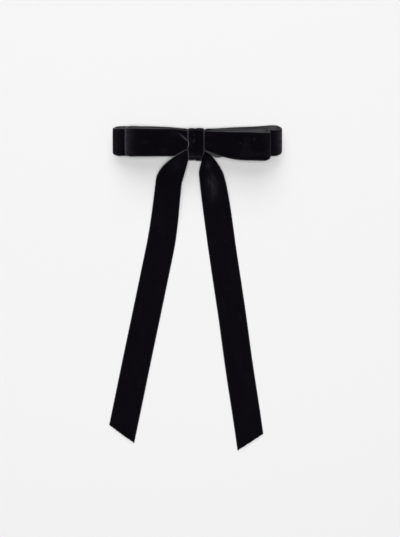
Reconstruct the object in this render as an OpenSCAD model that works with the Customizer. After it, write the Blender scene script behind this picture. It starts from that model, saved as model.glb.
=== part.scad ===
// Long-tailed velvet hair bow, sewn onto an automatic (French) barrette.
// The bow lies face up on a flat surface: +Z leaves its face, +Y points away from the tails,
// +X runs along the loops, from the barrette's hinge to its catch.
// The origin is the centre of the clasp arm's flat underside, straight below the knot.
// Every length is in millimetres and every angle in degrees.

/* [Ribbon] */
// Width of the velvet ribbon that the loops and tails are cut from
ribbon_w = 22; // [21:0.5:23]
// Thickness of the velvet ribbon, pile included
ribbon_t = 0.9; // [0.7:0.05:0.95]

/* [Loops] */
// Reach of the back loops, from the knot to their tips
back_reach = 66; // [62:0.5:70]
// Reach of the front loops, from the knot to their tips
front_reach = 56.4; // [52:0.2:59]
// Distance over which a loop spreads from its pinch to its full width
gather_len = 34; // [26:1:40]

/* [Tails] */
// Straight stretch of the left tail, along its middle
left_tail_run = 148.5; // [100:0.5:180]
// Straight stretch of the right tail, along its middle
right_tail_run = 154; // [100:0.5:180]
// How much further the inner edge runs than the outer one at the slanted cut
tail_slant = 10; // [0:0.5:14]
// Gap in each tail at its bending line, between the fixed neck and the moving tail
bend_gap = 1; // [0.7:0.1:1.4]

/* [Knot] */
// Width of the knot, along the loops
knot_w = 13.1; // [12.7:0.1:13.5]
// Thickness of the ribbon that is wrapped round the waist
wrap_t = 0.9; // [0.7:0.05:0.95]
// Thickness of the thread that gathers the waist
thread_t = 0.3; // [0.2:0.05:0.3]

/* [Barrette] */
// Half the length of the barrette's arched top plate
plate_half = 35; // [34.8:0.1:35.2]
// Width of the top plate
plate_w = 8; // [7.6:0.1:8.2]
// Height of the top plate's crown above the surface that the clip lies on
crown_z = 10.5; // [10.4:0.05:10.6]
// How far the top plate falls from its crown to its ends
plate_rise = 4.5; // [4.4:0.05:4.6]
// Thickness of the plate's and the arm's steel
steel_t = 0.8; // [0.7:0.05:0.85]
// Thickness of the felt pad between the plate and the bow
pad_t = 1.2; // [1:0.1:1.3]
// Radius of the hinge pin
pin_r = 0.6; // [0.5:0.02:0.64]

/* [Hidden] */
$fn = 48;

// Arch of the top plate, about a centre far below it
arch_r = (plate_half * plate_half + plate_rise * plate_rise) / (2 * plate_rise);
arch_z = crown_z - arch_r;
plate_angle = asin(plate_half / arch_r);

// Hinge of the clasp arm
pin_x = -33;
pin_z = 1.6;
knuckle_r = 1.35;
running_gap = 0.06;
ear_in = 3.2;
ear_out = plate_w / 2;
arm_w = 5.8;

// Latching end of the clasp arm: a paddle with a window that the prongs reach through
joggle_z = 1.5;
paddle_x = [27.6, 37.2];
paddle_w = 9.5;
window_x = [29.6, 35.6];
window_half = 3.45;

// Catch: a block under the plate and two prongs that bend where they leave it
block_x = [29.3, 35.9];
block_half = 2.6;
block_z = 4.6;
prong_x = [30, 35.2];
rivet_x = 32.6;
rivet_r = 0.7;

// Tension bar: a thin leaf, bowed towards the arm and held by two keepers under the plate
bar_half = 29;
bar_t = 0.4;
bar_w = 5;
bar_low_z = 5.5;
bar_end_z = 6.35;
bar_r = (bar_half * bar_half + pow(bar_end_z - bar_low_z, 2)) / (2 * (bar_end_z - bar_low_z));
keeper_x = [-28.6, 26.6];
keeper_len = 1.4;

// Felt pad and the stitches that hold it on the plate
pad_half = 31;
pad_w = 11;
stitch_x = [-20, 20];
stitch_half_angle = 1.675;
stitch_hole_r = 0.9;
stitch_r = 0.35;

// Heights of the ribbon layers where the knot pinches them, from the back to the face
ply = ribbon_t + 0.2;
first_z = crown_z + pad_t + thread_t + ribbon_t / 2 + 0.15;
right_neck_z = first_z;
back_lower_z = first_z + ply;
back_upper_z = first_z + 2 * ply;
front_lower_z = first_z + 3 * ply;
front_upper_z = first_z + 4 * ply;
left_neck_z = first_z + 5 * ply;
stack_top = left_neck_z + ribbon_t / 2;
waist_x = knot_w / 2 + 0.15;
surface_z = ribbon_t / 2;

// Knot: inner outlines of the wrapped ribbon's two turns in the YZ plane, round the top plate
wrap_low_z = 9.4;
wrap_top_z = stack_top + thread_t + 0.15;
left_turn = [[-10.8, wrap_low_z], [11.6, wrap_top_z]];
right_turn = [[-11.2, wrap_low_z - 0.3], [11.55, wrap_top_z + 0.35]];
turn_corner_r = 1.4;
turn_split_x = -1.1;
seam_z = wrap_low_z - 0.3 - 2 * wrap_t + 0.1;
thread_y = [-10.2, 11.15];

// A loop is [tip x, tip z, upper handle z, lower handle z, upper rise, lower rise, lower y, upper y].
// The handles shape the round tip, the rises are the layers' heights on their way out of the knot,
// and the last two are the ribbon's edges.
back_left = [ribbon_t / 2 + 0.4 - back_reach, 9, 15, -0.4, 14.2, 13.2, -8.4, ribbon_w - 8.4];
back_right = [back_reach + 0.4 - ribbon_t / 2, 9, 15, -0.4, 14.2, 13.2, -8.4, ribbon_w - 8.4];
front_left = [ribbon_t / 2 + 1 - front_reach, 18.8, 26, 14, 19.6, 15.5, -10.2, ribbon_w - 10.2];
front_right = [front_reach + 1 - ribbon_t / 2, 18.6, 26, 14, 19.8, 15.5, -13.2, ribbon_w - 13.2];
loop_handle_x = 28;
// Edges of each ring at its waist, and how far a loop's back layer stands above its front layer along Y,
// on the left and on the right
back_waist = [-3.5, 11.1];
front_waist = [-4.5, 9.6];
back_skew = [2, 2.8];
front_skew = [2.2, 2.2];
loop_steps = 10;

// Each tail is ruled between two edge curves. Its neck leaves the knot and comes down towards the surface,
// and the tail goes on from the neck's end: one curve down to the surface, then a straight stretch.
left_neck_outer = [[-5, -2, left_neck_z], [-16, -8.2, 21.5], [-26.4, -14.9, 19.5], [-31.5, -25, 10.5]];
left_neck_inner = [[-5, -8, left_neck_z], [-7.6, -9, 19], [-8.2, -19.5, 14.5], [-11.6, -29, 8.5]];
left_tail_outer = [left_neck_outer[3], [-33, -34, 3.5], [-36.3, -61.4, surface_z], [-40, -79, surface_z]];
left_tail_inner =
    [left_neck_inner[3], [-12.9, -36.5, 3.5], [-14.7, -66, surface_z], [-18.3, -83.5, surface_z]];
left_heading = [-0.203, -0.979, 0];
right_neck_outer = [[5, -2.6, right_neck_z], [11.5, -6, 12.3], [16.2, -13.5, 12], [20.6, -21, 8]];
right_neck_inner = [[5.2, -7.8, right_neck_z], [5.2, -11.5, 12.2], [0.5, -17, 10.5], [2, -24, 7.2]];
right_tail_outer = [right_neck_outer[3], [24.8, -32, 2.5], [28.1, -59.2, surface_z], [31, -79, surface_z]];
right_tail_inner = [right_neck_inner[3], [2.7, -33.5, 1.5], [6.5, -62.4, surface_z], [9.3, -82.2, surface_z]];
right_heading = [0.144, -0.9896, 0];
neck_steps = 10;
tail_steps = 12;

velvet = [0.05, 0.045, 0.06];
felt = [0.12, 0.12, 0.13];
thread = [0.08, 0.08, 0.09];
nickel = [0.72, 0.72, 0.74];

// ---- Curves ----

function mix(a, b, u) = a + (b - a) * u;
function unit(v) = v / norm(v);
function ease_out(u) = let (c = max(0, min(1, u))) 1 - (1 - c) * (1 - c);
function bezier(p, t) =
    pow(1 - t, 3) * p[0] + 3 * pow(1 - t, 2) * t * p[1] + 3 * (1 - t) * t * t * p[2] + pow(t, 3) * p[3];

// ---- Ribbons ----

// Unit normal of the ribbon at edge pair i, from its neighbours
function ribbon_normal(pairs, i, closed) =
    let (
        n = len(pairs),
        before = pairs[closed ? (i + n - 1) % n : max(0, i - 1)],
        after = pairs[closed ? (i + 1) % n : min(n - 1, i + 1)],
        along = (after[0] + after[1] - before[0] - before[1]) / 2
    )
    unit(cross(along, pairs[i][1] - pairs[i][0]));

// Solid of a ribbon from its list of edge pairs, as a band of the given thickness
module ribbon(pairs, thickness, closed = false) {
    n = len(pairs);
    points = [
        for (i = [0:n - 1])
            let (lift = ribbon_normal(pairs, i, closed) * thickness / 2)
            each [pairs[i][0] - lift, pairs[i][1] - lift, pairs[i][1] + lift, pairs[i][0] + lift]
    ];
    sides = [
        for (i = [0:n - (closed ? 1 : 2)])
            for (k = [0:3])
                let (a = 4 * i, b = 4 * ((i + 1) % n), m = (k + 1) % 4)
                each [[a + k, a + m, b + m], [a + k, b + m, b + k]]
    ];
    last = 4 * n - 4;
    caps = closed ? [] : [[3, 2, 1], [3, 1, 0], [last, last + 1, last + 2], [last, last + 2, last + 3]];
    polyhedron(points, concat(sides, caps), convexity = 8);
}

// Edge pair of a loop at (x, z): the waist's edges spread to the loop's own, shifted along Y
function loop_pair(x, z, loop, waist, shift) =
    let (spread = ease_out((abs(x) - waist_x) / gather_len))
    [
        [x, mix(waist[0], loop[6] + shift, spread), z],
        [x, mix(waist[1], loop[7] + shift, spread), z]
    ];

// Edge pairs of one loop, from the waist's upper layer round the tip to its lower layer
function loop_pairs(loop, upper_z, lower_z, waist, skew) =
    let (
        side = sign(loop[0]),
        handle_x = side * loop_handle_x,
        upper = [[side * waist_x, upper_z], [handle_x, loop[4]], [loop[0], loop[2]], [loop[0], loop[1]]],
        lower = [[loop[0], loop[1]], [loop[0], loop[3]], [handle_x, loop[5]], [side * waist_x, lower_z]]
    )
    [
        for (i = [0:2 * loop_steps])
            let (
                t = i / loop_steps,
                p = t <= 1 ? bezier(upper, t) : bezier(lower, t - 1)
            )
            loop_pair(p[0], p[1], loop, waist, skew * t / 2)
    ];

function reversed(list) = [for (i = [len(list) - 1:-1:0]) list[i]];

// One ribbon ring, pinched at the waist into a left and a right loop
module loop_ring(left, right, upper_z, lower_z, waist, skew) {
    right_side = loop_pairs(right, upper_z, lower_z, waist, skew[1]);
    left_side = reversed(loop_pairs(left, upper_z, lower_z, waist, skew[0]));
    ribbon(concat(right_side, left_side), ribbon_t, closed = true);
}

// Edge pairs along two edge curves, from station t = a to t = b
function ruled_pairs(outer, inner, a, b, steps) =
    [for (i = [0:steps]) let (t = mix(a, b, i / steps)) [bezier(outer, t), bezier(inner, t)]];

// Share of an edge curve that a gap of this length takes at its end
function gap_share(curve, gap) = gap / (3 * norm(curve[3] - curve[2]));

// The neck: from inside the knot to half a gap short of the bending line
module tail_neck(outer, inner, inside_x) {
    tucked = [[inside_x, outer[0][1], outer[0][2]], [inside_x, inner[0][1], inner[0][2]]];
    stop = 1 - gap_share(outer, bend_gap / 2);
    ribbon(concat([tucked], ruled_pairs(outer, inner, 0, stop, neck_steps)), ribbon_t);
}

// The moving tail: from half a gap past the bending line to its slanted cut
module loose_tail(outer, inner, heading, run) {
    start = bend_gap / 2 / (3 * norm(outer[1] - outer[0]));
    bend = ruled_pairs(outer, inner, start, 1, tail_steps);
    cut = [outer[3] + heading * (run - tail_slant / 2), inner[3] + heading * (run + tail_slant / 2)];
    ribbon(concat(bend, [cut]), ribbon_t);
}

module back_loops() {
    color(velvet)
    loop_ring(back_left, back_right, back_upper_z, back_lower_z, back_waist, back_skew);
}

module front_loops() {
    color(velvet)
    loop_ring(front_left, front_right, front_upper_z, front_lower_z, front_waist, front_skew);
}

module left_tail_neck() {
    color(velvet)
    tail_neck(left_neck_outer, left_neck_inner, 3);
}

module right_tail_neck() {
    color(velvet)
    tail_neck(right_neck_outer, right_neck_inner, -3);
}

module left_tail() {
    color(velvet)
    loose_tail(left_tail_outer, left_tail_inner, left_heading, left_tail_run);
}

module right_tail() {
    color(velvet)
    loose_tail(right_tail_outer, right_tail_inner, right_heading, right_tail_run);
}

// ---- Knot ----

// Rectangle with round corners, from low to high
module rounded_box_2d(low, high, r) {
    translate([low[0] + r, low[1]])
    square([high[0] - low[0] - 2 * r, high[1] - low[1]]);
    translate([low[0], low[1] + r])
    square([high[0] - low[0], high[1] - low[1] - 2 * r]);
    for (x = [low[0] + r, high[0] - r])
        for (y = [low[1] + r, high[1] - r])
            translate([x, y])
            circle(r);
}

// Band round the waist: its inner outline in the YZ plane, its thickness, and where it runs along X
module waist_band(outline, r, thickness, x0, x1) {
    low = outline[0];
    high = outline[1];
    translate([x0, 0, 0])
    rotate([90, 0, 90])
    linear_extrude(x1 - x0)
    difference() {
        rounded_box_2d(low - [thickness, thickness], high + [thickness, thickness], r + thickness);
        rounded_box_2d(low, high, r);
    }
}

// The wrapped ribbon is folded lengthwise, so it shows two turns side by side, and its ends lap underneath.
// The lower right corner is cut back where the right tail leaves the knot.
module knot_wrap() {
    color(velvet)
    difference() {
        union() {
            waist_band(left_turn, turn_corner_r, wrap_t, -knot_w / 2, turn_split_x + 0.3);
            waist_band(right_turn, turn_corner_r, wrap_t, turn_split_x, knot_w / 2);
            translate([-knot_w / 2 + 0.6, -4.5, seam_z])
            cube([knot_w - 1.2, 10, wrap_t + 0.3]);
        }
        translate([0, 0, wrap_low_z - 3])
        linear_extrude(wrap_top_z)
        polygon([[knot_w / 2 + 1, -6.4], [3.2, -13.2], [knot_w / 2 + 1, -13.2]]);
    }
}

// Three short whip stitches across the wrap's seam, on its underside
module knot_stitches() {
    color(thread)
    for (x = [-4, 0, 4])
        translate([x, -4.5, seam_z])
        rotate([0, 0, 25])
        rounded_staple(3.2, thread_t);
}

// Small staple of thread lying on a face at z = 0, with round ends
module rounded_staple(length, r) {
    translate([0, -length / 2, -r])
    rotate([-90, 0, 0])
    cylinder(r = r, h = length, $fn = 24);
    for (y = [-length / 2, length / 2])
        translate([0, y, -r])
        sphere(r, $fn = 24);
}

// Five turns of thread that gather the ribbons at the waist
module gathering_thread() {
    inner = [[thread_y[0], crown_z + pad_t + 0.05 + thread_t], [thread_y[1], stack_top + 0.1]];
    color(thread)
    for (x = [-4:2:4])
        waist_band(inner, 1.6, thread_t, x - thread_t / 2, x + thread_t / 2);
}

// ---- Barrette ----

// Strip bent to the plate's arch, between two radii about the arch's centre
module arched_strip(half_angle, r_in, r_out, width) {
    translate([0, width / 2, arch_z])
    rotate([90, 0, 0])
    rotate([0, 0, 90 - half_angle])
    rotate_extrude(angle = 2 * half_angle, $fn = 360)
    translate([r_in, 0])
    square([r_out - r_in, width]);
}

// Places its children on the plate's top face at this x, square to the face
module on_plate(x) {
    translate([0, 0, arch_z])
    rotate([0, asin(x / arch_r), 0])
    translate([0, 0, arch_r])
    children();
}

// Places its children at both ends of each stitch, on the plate's top face and square to it
module at_stitch_ends() {
    for (x = stitch_x)
        for (side = [-1, 1])
            translate([0, 0, arch_z])
            rotate([0, asin(x / arch_r) + side * stitch_half_angle, 0])
            translate([0, 0, arch_r])
            children();
}

// Height of the plate's underside at this x
function underside(x) = arch_z + sqrt(pow(arch_r - steel_t, 2) - x * x);

// Extrudes an outline drawn in the XZ plane along Y, between two values of y
module along_y(y0, y1) {
    translate([0, y1, 0])
    rotate([90, 0, 0])
    linear_extrude(y1 - y0)
    children();
}

// Hinge ear in the XZ plane: a round foot about the pin, and a web up into the plate
module ear_outline() {
    translate([pin_x, pin_z])
    circle(knuckle_r);
    polygon([
        [pin_x - knuckle_r, pin_z],
        [pin_x + knuckle_r, pin_z],
        [pin_x + knuckle_r, underside(pin_x + knuckle_r) + steel_t / 2],
        [pin_x - knuckle_r, underside(pin_x - knuckle_r) + steel_t / 2]
    ]);
}

// Keeper: a small strap under the plate that a tension bar's end slides into
module keeper(x) {
    leg_in = bar_w / 2 + 0.15;
    leg_out = bar_w / 2 + 0.65;
    strap_top = underside(x + keeper_len / 2) - bar_t - 0.55;
    for (side = [-1, 1])
        translate([x, side > 0 ? leg_in : -leg_out, strap_top - 0.5])
        cube([keeper_len, leg_out - leg_in, underside(x + keeper_len / 2) - strap_top + 0.8]);
    translate([x, -leg_out, strap_top - 0.5])
    cube([keeper_len, 2 * leg_out, 0.5]);
}

module top_plate() {
    color(nickel)
    difference() {
        union() {
            arched_strip(plate_angle, arch_r - steel_t, arch_r, plate_w);
            along_y(ear_in, ear_out)
            ear_outline();
            along_y(-ear_out, -ear_in)
            ear_outline();
            for (x = keeper_x)
                keeper(x);
        }
        at_stitch_ends()
        translate([0, 0, -2])
        cylinder(r = stitch_hole_r, h = 4);
        on_plate(rivet_x)
        translate([0, 0, -2])
        cylinder(r = rivet_r + 0.02, h = 4);
        translate([pin_x, -plate_w, pin_z])
        rotate([-90, 0, 0])
        cylinder(r = pin_r + 0.02, h = 2 * plate_w);
    }
}

module hinge_pin() {
    color(nickel)
    translate([pin_x, 0, pin_z])
    rotate([90, 0, 0]) {
        cylinder(r = pin_r, h = 2 * ear_out + 0.6, center = true);
        for (side = [-1, 1])
            translate([0, 0, side * (ear_out + 0.3)])
            cylinder(r = 1, h = 0.5, center = true);
    }
}

// Side outline of the clasp arm in the XZ plane: flat strip, joggle up to the paddle, thumb lip at the end
module arm_side() {
    polygon([
        [pin_x, 0],
        [25.4, 0],
        [28.2, joggle_z],
        [36.8, joggle_z],
        [38.2, 0.2],
        [38.8, 0.8],
        [37.2, joggle_z + steel_t],
        [27.8, joggle_z + steel_t],
        [25, steel_t],
        [pin_x, steel_t]
    ]);
}

// Plan outline of the clasp arm
module arm_plan() {
    difference() {
        union() {
            translate([pin_x - 1, -arm_w / 2])
            square([paddle_x[0] - pin_x + 3, arm_w]);
            rounded_box_2d([paddle_x[0], -paddle_w / 2], [paddle_x[1], paddle_w / 2], 1.5);
            rounded_box_2d([paddle_x[1] - 3, -3], [39, 3], 1);
        }
        rounded_box_2d([window_x[0], -window_half], [window_x[1], window_half], 0.4);
    }
}

module clasp_arm() {
    color(nickel)
    difference() {
        union() {
            intersection() {
                along_y(-paddle_w, paddle_w)
                arm_side();
                translate([0, 0, -1])
                linear_extrude(6)
                arm_plan();
            }
            translate([pin_x, 0, pin_z])
            rotate([90, 0, 0])
            cylinder(r = knuckle_r, h = arm_w, center = true);
        }
        translate([pin_x, 0, pin_z])
        rotate([90, 0, 0])
        cylinder(r = pin_r + running_gap, h = arm_w + 2, center = true);
    }
}

module tension_bar() {
    half_angle = asin(bar_half / bar_r);
    color(nickel)
    translate([0, bar_w / 2, bar_low_z + bar_r])
    rotate([90, 0, 0])
    rotate([0, 0, -90 - half_angle])
    rotate_extrude(angle = 2 * half_angle, $fn = 720)
    translate([bar_r - bar_t / 2, 0])
    square([bar_t, bar_w]);
}

module catch_block() {
    color(nickel)
    difference() {
        intersection() {
            translate([block_x[0], -block_half, block_z])
            cube([block_x[1] - block_x[0], 2 * block_half, 4]);
            translate([0, 0, arch_z])
            rotate([90, 0, 0])
            cylinder(r = arch_r - steel_t - 0.01, h = 2 * block_half + 2, center = true, $fn = 720);
        }
        on_plate(rivet_x)
        translate([0, 0, -4])
        cylinder(r = rivet_r + 0.02, h = 6);
    }
}

module catch_rivet() {
    color(nickel)
    on_plate(rivet_x) {
        translate([0, 0, -1.95])
        cylinder(r = rivet_r, h = 2);
        rotate_extrude()
        intersection() {
            translate([0, -1.6])
            circle(2.1);
            square([1.35, 0.5]);
        }
    }
}

// Outline of the upper prong in the YZ plane: leg, outward barb under the arm, and a wing with a finger pad
module prong_outline() {
    polygon([
        [2.72, 5.05],
        [2.72, 0.4],
        [3.3, 0.4],
        [4, 1.05],
        [4, 1.3],
        [3.28, 1.3],
        [3.28, 3.1],
        [6.7, 3.1],
        [6.7, 5.7],
        [6.1, 5.7],
        [6.1, 3.7],
        [3.28, 3.7],
        [3.28, 5.05]
    ]);
}

module prong() {
    translate([prong_x[0], 0, 0])
    rotate([90, 0, 90])
    linear_extrude(prong_x[1] - prong_x[0])
    prong_outline();
}

module upper_prong() {
    color(nickel)
    prong();
}

module lower_prong() {
    color(nickel)
    mirror([0, 1, 0])
    prong();
}

// ---- Pad ----

module felt_pad() {
    color(felt)
    difference() {
        intersection() {
            arched_strip(asin(pad_half / arch_r) + 1, arch_r, arch_r + pad_t, pad_w);
            linear_extrude(crown_z + 5)
            rounded_box_2d([-pad_half, -pad_w / 2], [pad_half, pad_w / 2], 3);
        }
        at_stitch_ends()
        translate([0, 0, -1])
        cylinder(r = stitch_r + 0.15, h = pad_t + 3);
    }
}

// Two loops of thread, each through a pair of holes, round the plate and the pad
module pad_stitches() {
    half = arch_r * sin(stitch_half_angle);
    low = -steel_t - stitch_r - 0.02;
    high = pad_t + stitch_r + 0.02;
    color(thread)
    for (x = stitch_x)
        on_plate(x) {
            for (side = [-1, 1])
                translate([side * half, 0, low])
                cylinder(r = stitch_r, h = high - low, $fn = 24);
            for (z = [low, high]) {
                translate([-half, 0, z])
                rotate([0, 90, 0])
                cylinder(r = stitch_r, h = 2 * half, $fn = 24);
                for (side = [-1, 1])
                    translate([side * half, 0, z])
                    sphere(stitch_r, $fn = 24);
            }
        }
}

top_plate();
tension_bar();
catch_block();
catch_rivet();
hinge_pin();
clasp_arm();
upper_prong();
lower_prong();
felt_pad();
pad_stitches();
back_loops();
front_loops();
gathering_thread();
knot_wrap();
knot_stitches();
left_tail_neck();
right_tail_neck();
left_tail();
right_tail();
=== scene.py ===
"""Velvet hair bow on an automatic barrette: its finished look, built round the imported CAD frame.

Shapes are worked out in millimetres and written to the meshes in metres. A ribbon is a grid of
points on its middle surface, with u running along the ribbon and v across it.
"""
import math
from collections import namedtuple

import bmesh
import bpy
import numpy as np
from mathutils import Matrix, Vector


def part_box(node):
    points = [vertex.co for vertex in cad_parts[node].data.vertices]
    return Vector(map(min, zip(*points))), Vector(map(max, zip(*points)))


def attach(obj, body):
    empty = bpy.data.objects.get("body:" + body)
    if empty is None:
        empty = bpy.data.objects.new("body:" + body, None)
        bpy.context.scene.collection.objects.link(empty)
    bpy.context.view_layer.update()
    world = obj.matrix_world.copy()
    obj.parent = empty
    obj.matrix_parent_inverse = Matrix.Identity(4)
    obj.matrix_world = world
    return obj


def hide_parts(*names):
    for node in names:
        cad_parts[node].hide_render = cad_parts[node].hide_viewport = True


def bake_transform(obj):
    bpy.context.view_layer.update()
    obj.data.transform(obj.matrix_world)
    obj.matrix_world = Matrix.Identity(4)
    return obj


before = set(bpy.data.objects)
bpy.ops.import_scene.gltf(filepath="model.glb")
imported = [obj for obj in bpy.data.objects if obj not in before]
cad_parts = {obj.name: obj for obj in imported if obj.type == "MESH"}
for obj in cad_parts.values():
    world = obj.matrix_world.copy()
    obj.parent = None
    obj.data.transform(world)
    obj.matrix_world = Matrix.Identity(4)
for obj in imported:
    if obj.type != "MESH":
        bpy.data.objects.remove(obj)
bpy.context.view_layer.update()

MM = 0.001


def node_box(node):
    """Lowest and highest corner of a CAD node, in millimetres."""
    low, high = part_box(node)
    return np.array(low) / MM, np.array(high) / MM


# ---- Dimensions, in millimetres ----

RIBBON_W = 22.0
HALF_W = RIBBON_W / 2
RIBBON_T = 0.9
PLY = RIBBON_T + 0.2
RIBBON_STEP = 0.46

back_low, back_high = node_box("back_loops")
front_low, front_high = node_box("front_loops")
knot_low, knot_high = node_box("knot_wrap")
pad_top_z = node_box("felt_pad")[1][2]

# Heights of the ribbon layers where the knot pinches them, from the back to the face
STITCH_T = 0.3
WAIST_GAP = 0.15
FIRST_Z = pad_top_z + STITCH_T + RIBBON_T / 2 + WAIST_GAP
RIGHT_NECK_Z, BACK_LOWER_Z, BACK_UPPER_Z, FRONT_LOWER_Z, FRONT_UPPER_Z, LEFT_NECK_Z = (
    FIRST_Z + layer * PLY for layer in range(6)
)
WAIST_X = (knot_high[0] - knot_low[0]) / 2 + WAIST_GAP
SURFACE_Z = RIBBON_T / 2
GATHER_LEN = 34.0
LOOP_HANDLE_X = 28.0

# Section of the velvet ribbon, measured from its middle surface
BACK_FACE = -0.38
BASE_FACE = -0.06
PILE_TOP = 0.42
SELVEDGE_W = 0.45
SELVEDGE_MARGIN = 0.12
SHOULDER_W = 0.45

# The weft loops along a selvedge: how far they stand out, how much that varies, and how often
WEFT_OUT, WEFT_SWING, WEFT_RATE = 0.06, 0.035, 7.0


# ---- Small helpers ----


def smoothstep(x):
    x = np.clip(x, 0, 1)
    return x * x * (3 - 2 * x)


def mix(a, b, t):
    return a + (b - a) * t


def ease_out(x):
    return 1 - (1 - np.clip(x, 0, 1)) ** 2


def bell(x, centre, width):
    """Bell curve, 1 at its centre."""
    return np.exp(-(((x - centre) / width) ** 2))


def bezier(points, t):
    p = np.array(points, float)
    t = np.asarray(t, float)[:, None]
    s = 1 - t
    return s**3 * p[0] + 3 * s**2 * t * p[1] + 3 * s * t**2 * p[2] + t**3 * p[3]


def lengths_along(points):
    steps = np.linalg.norm(np.diff(points, axis=0), axis=1)
    return np.concatenate([[0], np.cumsum(steps)])


def resample(points, step, closed=False):
    """Rows at an even step along a polyline. The columns past the third, or past the second in a
    flat path, are values carried along."""
    points = np.asarray(points, float)
    if closed:
        points = np.vstack([points, points[:1]])
    spatial = points[:, : min(3, points.shape[1])]
    length = lengths_along(spatial)
    at = np.linspace(0, length[-1], int(round(length[-1] / step)) + 1)
    if closed:
        at = at[:-1]
    return np.column_stack([np.interp(at, length, column) for column in points.T]), at


def blur(values, sigma, closed=False):
    """Gaussian blur along the first axis, with sigma in samples."""
    reach = int(3 * sigma) + 1
    kernel = np.exp(-0.5 * (np.arange(-reach, reach + 1) / sigma) ** 2)
    kernel /= kernel.sum()
    pad = [(reach, reach)] + [(0, 0)] * (values.ndim - 1)
    wide = np.pad(values, pad, mode="wrap" if closed else "edge")
    return sum(k * wide[i : i + len(values)] for i, k in enumerate(kernel))


def noise2(u, v, scale, seed, period=None):
    """Smooth value noise from -1 to 1. A period in u makes it close on itself."""
    table = np.random.default_rng(seed).uniform(-1, 1, (512, 64))
    columns = 512 if period is None else max(1, int(round(period / scale)))
    x = u / (scale if period is None else period / columns)
    y = v / scale + 32
    xi, yi = np.floor(x).astype(int), np.floor(y).astype(int)
    fx, fy = smoothstep(x - xi), smoothstep(y - yi)

    def at(i, j):
        return table[i % columns % 512, j % 64]

    low = mix(at(xi, yi), at(xi + 1, yi), fx)
    high = mix(at(xi, yi + 1), at(xi + 1, yi + 1), fx)
    return mix(low, high, fy)


def surface_normals(grid, closed=False):
    if closed:
        along = np.roll(grid, -1, axis=0) - np.roll(grid, 1, axis=0)
    else:
        along = np.gradient(grid, axis=0)
    normal = np.cross(along, np.gradient(grid, axis=1))
    return normal / np.maximum(np.linalg.norm(normal, axis=2, keepdims=True), 1e-9)


def across_samples(half, step=RIBBON_STEP):
    """Positions across a ribbon, closer together at its selvedges."""
    from_edge = np.array([1.2, 1.0, 0.85, 0.7, 0.58, 0.46, 0.34, 0.2, 0.08, 0.0])
    right = np.concatenate([np.arange(0, half - 1.35, step), half - from_edge])
    return np.concatenate([-right[:0:-1], right])


# ---- Materials ----


def new_material(name):
    material = bpy.data.materials.new(name)
    material.use_nodes = True
    tree = material.node_tree
    return material, tree, tree.nodes["Principled BSDF"]


def set_or_link(tree, socket, value):
    if isinstance(value, bpy.types.NodeSocket):
        tree.links.new(value, socket)
    elif isinstance(value, tuple) and socket.type == "RGBA":
        socket.default_value = (*value, 1)
    else:
        socket.default_value = value


def node(tree, kind, settings=(), **inputs):
    """A new node. settings are its own properties, and inputs are its sockets' values or links,
    with a space in a socket's name written as an underscore."""
    made = tree.nodes.new(kind)
    for key, value in dict(settings).items():
        setattr(made, key, value)
    for key, value in inputs.items():
        set_or_link(tree, made.inputs[key.replace("_", " ")], value)
    return made


def noise(tree, vector, scale, detail=2.0, roughness=0.5):
    return node(tree, "ShaderNodeTexNoise", Vector=vector, Scale=scale, Detail=detail,
                Roughness=roughness).outputs["Fac"]


def stripes(tree, vector, direction, scale, distortion):
    return node(tree, "ShaderNodeTexWave", {"bands_direction": direction}, Vector=vector,
                Scale=scale, Distortion=distortion, Detail=1.0).outputs["Fac"]


def remap(tree, value, a, b, c, d):
    return node(tree, "ShaderNodeMapRange", Value=value, From_Min=a, From_Max=b, To_Min=c,
                To_Max=d).outputs["Result"]


def calculate(tree, operation, a, b):
    made = node(tree, "ShaderNodeMath", {"operation": operation})
    set_or_link(tree, made.inputs[0], a)
    set_or_link(tree, made.inputs[1], b)
    return made.outputs["Value"]


def blend_colours(tree, factor, a, b):
    made = node(tree, "ShaderNodeMix", {"data_type": "RGBA"})
    colours = [s for s in made.inputs if s.type == "RGBA"]
    set_or_link(tree, [s for s in made.inputs if s.type == "VALUE"][0], factor)
    set_or_link(tree, colours[0], a)
    set_or_link(tree, colours[1], b)
    return [s for s in made.outputs if s.type == "RGBA"][0]


def bumped(tree, height, strength, distance, under=None):
    made = node(tree, "ShaderNodeBump", Height=height, Strength=strength, Distance=distance)
    if under is not None:
        tree.links.new(under, made.inputs["Normal"])
    return made.outputs["Normal"]


def finish_shader(tree, bsdf, colour, roughness, normal, **constants):
    for name, value in (("Base Color", colour), ("Roughness", roughness), ("Normal", normal)):
        tree.links.new(value, bsdf.inputs[name])
    for key, value in constants.items():
        set_or_link(tree, bsdf.inputs[key.replace("_", " ")], value)


def ribbon_coordinates(tree):
    """The ribbon's own coordinates, in metres along and across it."""
    return node(tree, "ShaderNodeUVMap", {"uv_map": "Ribbon"}).outputs["UV"]


def pile_sheen_and_paleness_node(tree):
    """The attribute that says where highlights and sheen are painted on the pile and its
    selvedges, and where the pile has paler mottles and specks, from 0 to 1.
    """
    return node(tree, "ShaderNodeAttribute", {"attribute_name": "pile_sheen_and_paleness"}).outputs["Fac"]


def stretched(tree, vector, scale):
    return node(tree, "ShaderNodeMapping", Vector=vector, Scale=scale).outputs["Vector"]


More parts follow.
